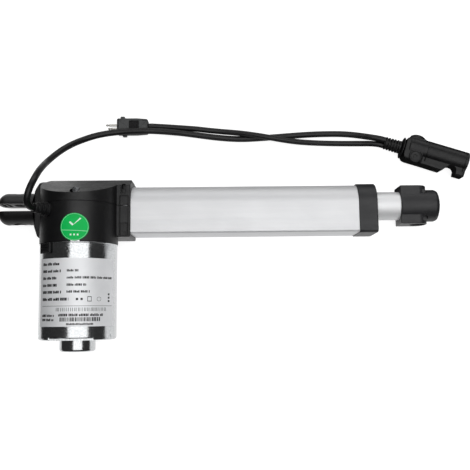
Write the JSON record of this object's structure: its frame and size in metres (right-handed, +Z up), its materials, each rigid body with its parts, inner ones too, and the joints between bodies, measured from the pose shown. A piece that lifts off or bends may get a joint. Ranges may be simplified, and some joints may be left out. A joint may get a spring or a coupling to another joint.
{
  "type": "linear actuator",
  "caption": "Electric linear actuator with a right-angle motor, round-sided aluminium tube, forked rear mount, sliding rod with a pin head, and a short lead with connectors.",
  "frame": {"origin": "centre of the underside of the actuator without its cords, on the plane it lies on", "axes": "+X along the spindle towards the rod head, -Y along the motor away from the spindle, +Z up from the plane the actuator lies on"},
  "size_m": [0.4053, 0.2027, 0.0787],
  "materials": {
    "black_housing": "moulded black nylon, fine grain, satin",
    "charcoal_plastic": "moulded charcoal nylon, fine grain",
    "satin_aluminium": "extruded, satin anodised, fine lengthwise lines",
    "zinc_plate": "zinc plated drawn steel, bright with a fine spangle",
    "nickel_contacts": "nickel plated",
    "brass_contacts": "turned brass",
    "white_acetal": "natural acetal",
    "black_pvc": "soft black PVC, semi gloss",
    "black_connector_plastic": "moulded black plastic",
    "silver_label": "matt silver foil with dark printed bars",
    "green_sticker": "gloss green paper sticker with a white tick",
    "dark_ferrite": "ferrite and carbon, matt",
    "armature_copper": "laminations with varnished copper windings",
    "commutator_copper": "turned copper",
    "sintered_bronze": "sintered bronze",
    "green_board": "green circuit board",
    "bright_steel": "machined steel"
  },
  "bodies": {
    "actuator_body": {"brush_card": "black_connector_plastic", "brush_left": "dark_ferrite", "brush_right": "dark_ferrite", "brush_terminal": "black_connector_plastic", "cable_boot": "black_pvc", "cap_screw_1": "bright_steel", "cap_screw_2": "bright_steel", "connector_body": "black_connector_plastic", "connector_collar": "black_connector_plastic", "connector_contact_1": "brass_contacts", "connector_contact_2": "brass_contacts", "connector_contact_3": "brass_contacts", "connector_contact_4": "brass_contacts", "connector_contact_5": "brass_contacts", "connector_insert": "black_connector_plastic", "connector_strain_relief": "black_pvc", "end_cap": "charcoal_plastic", "housing_screw": "bright_steel", "inspection_sticker": "green_sticker", "limit_switch_board": "green_board", "limit_switch_in": "black_connector_plastic", "limit_switch_out": "black_connector_plastic", "lower_gear_housing": "black_housing", "magnet_left": "dark_ferrite", "magnet_right": "dark_ferrite", "motor_bearing_cup": "zinc_plate", "motor_can": "zinc_plate", "motor_cord": "black_pvc", "motor_front_bearing": "sintered_bronze", "motor_rear_bearing": "bright_steel", "outer_tube": "satin_aluminium", "plug_body": "black_connector_plastic", "plug_cord": "black_pvc", "plug_pin_1": "nickel_contacts", "plug_pin_2": "nickel_contacts", "rating_label": "silver_label", "rear_fork": "black_housing", "rod_guide": "white_acetal", "shell_screw_1": "bright_steel", "shell_screw_2": "bright_steel", "shell_screw_3": "bright_steel", "spindle_bearing": "bright_steel", "upper_gear_housing": "black_housing", "worm_end_bearing": "sintered_bronze"},
    "rod": {"inner_tube": "satin_aluminium", "rod_head": "charcoal_plastic", "spindle_nut": "white_acetal"},
    "spindle": {"lead_screw": "bright_steel", "spindle_stop": "bright_steel", "worm_wheel": "white_acetal"},
    "rotor": {"motor_shaft": "bright_steel", "armature_core": "armature_copper", "commutator": "commutator_copper", "worm": "bright_steel"}
  },
  "joints": [
    {"name": "rod_slide", "type": "slide", "parent": "actuator_body", "child": "rod", "axis": [1, 0, 0], "range_m": [0, 0.153]},
    {"name": "spindle_spin", "type": "hinge", "parent": "actuator_body", "child": "spindle", "pos_m": [-0.1156, 0.047, 0.0175], "axis": [1, 0, 0], "continuous": true},
    {"name": "rotor_spin", "type": "hinge", "parent": "actuator_body", "child": "rotor", "pos_m": [-0.1156, -0.013, 0.0317], "axis": [0, 1, 0], "continuous": true}
  ],
  "couplings": [
    {"joint": "spindle_spin", "follows": "rod_slide", "rad_per_m": 1047.2},
    {"joint": "rotor_spin", "follows": "rod_slide", "rad_per_m": 23038}
  ]
}
